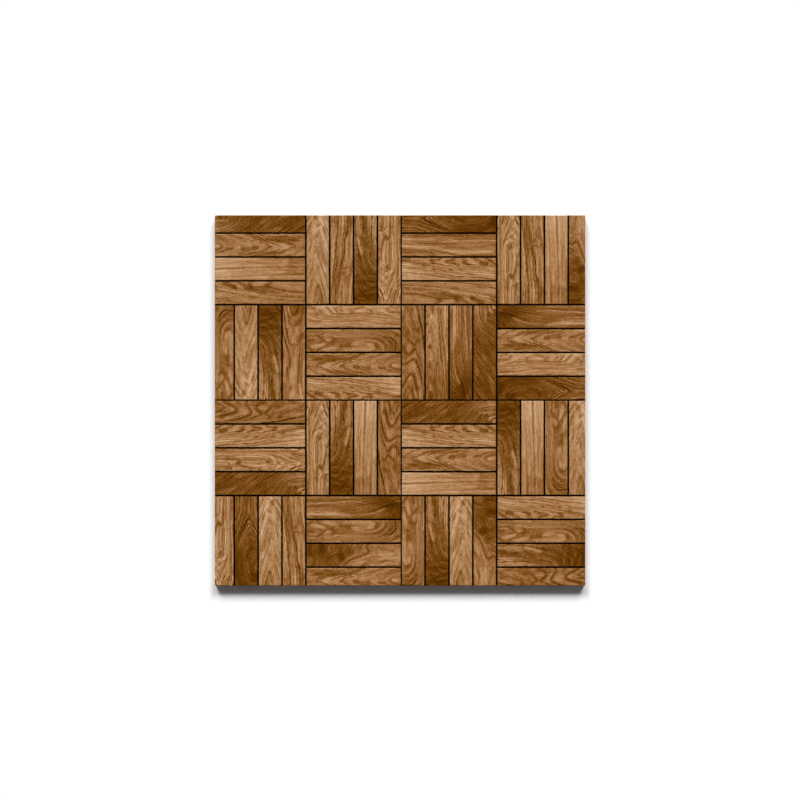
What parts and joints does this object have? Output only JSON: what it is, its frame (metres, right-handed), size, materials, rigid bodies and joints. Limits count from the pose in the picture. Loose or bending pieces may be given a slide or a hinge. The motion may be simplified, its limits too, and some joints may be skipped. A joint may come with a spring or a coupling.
{
  "type": "ceramic floor tile",
  "caption": "Square glazed floor tile whose pressed face imitates basket-weave mosaic parquet, with sunk joints round each finger and a waffle of keying pockets in its back.",
  "frame": {"origin": "middle of the back, on the plane of the ribs that the tile stands on", "axes": "+Z out of the glazed face, +Y towards the tile's top edge as seen from above, +X to its right"},
  "size_m": [0.396, 0.396, 0.009],
  "materials": {
    "glazed_clay": "matt glaze with printed oak grain, dark joints, bare buff clay on the sides and back"
  },
  "bodies": {
    "root": {"tile": "glazed_clay"}
  },
  "joints": []
}
